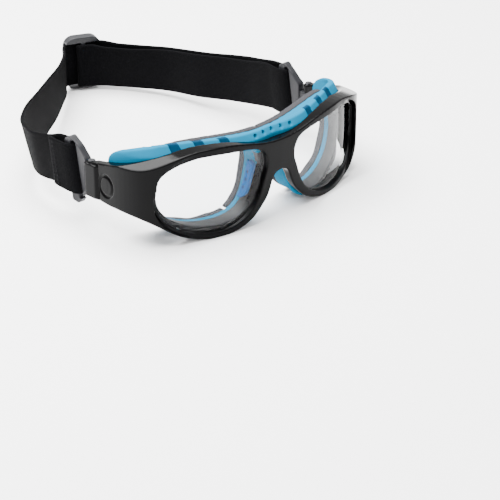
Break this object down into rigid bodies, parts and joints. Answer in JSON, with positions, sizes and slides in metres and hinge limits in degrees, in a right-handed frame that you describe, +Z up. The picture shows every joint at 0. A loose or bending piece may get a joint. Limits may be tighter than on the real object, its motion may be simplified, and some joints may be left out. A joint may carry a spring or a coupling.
{
  "type": "sports protective goggles",
  "caption": "Wrapped protective goggles: clear lenses in a black front, blue foam-faced gasket, hinged strap connectors and an adjustable elastic head strap.",
  "frame": {"origin": "middle of the footprint in X and Y, on the surface the goggles stand on", "axes": "+Z up, +Y from the lenses towards the back of the head, +X towards the wearer's left"},
  "size_m": [0.152, 0.2061, 0.046],
  "materials": {
    "frame_black": "gloss black nylon with softly polished edges",
    "lens_clear": "clear polycarbonate, polished",
    "pad_azure": "satin soft rubber",
    "pin_steel": "plain steel",
    "connector_grey": "dark grey satin nylon",
    "strap_black": "woven elastic webbing with bound edges",
    "gasket_blue": "satin moulded rubber",
    "foam_grey": "open-cell foam with a fine skin"
  },
  "bodies": {
    "front": {"front_frame": "frame_black", "lens_left": "lens_clear", "lens_right": "lens_clear", "nose_pad_left": "pad_azure", "nose_pad_right": "pad_azure", "hinge_pin_left": "pin_steel", "hinge_pin_right": "pin_steel", "strap_band": "strap_black", "strap_inner_layer": "strap_black"},
    "connector_left": {"strap_connector_left": "connector_grey", "strap_loop_left": "strap_black"},
    "connector_right": {"strap_connector_right": "connector_grey", "strap_loop_right": "strap_black"},
    "slider": {"strap_slider": "connector_grey", "strap_sewn_end": "strap_black"},
    "gasket": {"gasket_frame": "gasket_blue", "foam_brow_left": "foam_grey", "foam_brow_right": "foam_grey", "foam_nose_left": "foam_grey", "foam_nose_right": "foam_grey", "foam_cheek_left": "foam_grey", "foam_cheek_right": "foam_grey"}
  },
  "joints": [
    {"name": "connector_left_hinge", "type": "hinge", "parent": "front", "child": "connector_left", "pos_m": [0.0727, -0.0501, 0.0253], "axis": [0, 0, 1], "range_deg": [0, 80]},
    {"name": "connector_right_hinge", "type": "hinge", "parent": "front", "child": "connector_right", "pos_m": [-0.0727, -0.0501, 0.0253], "axis": [0, 0, -1], "range_deg": [0, 80]},
    {"name": "slider_slide", "type": "slide", "parent": "front", "child": "slider", "axis": [0.9272, -0.3746, 0], "range_m": [0, 0.006]},
    {"name": "gasket_pull", "type": "slide", "parent": "front", "child": "gasket", "axis": [0, 1, 0], "range_m": [0, 0.004]}
  ]
}
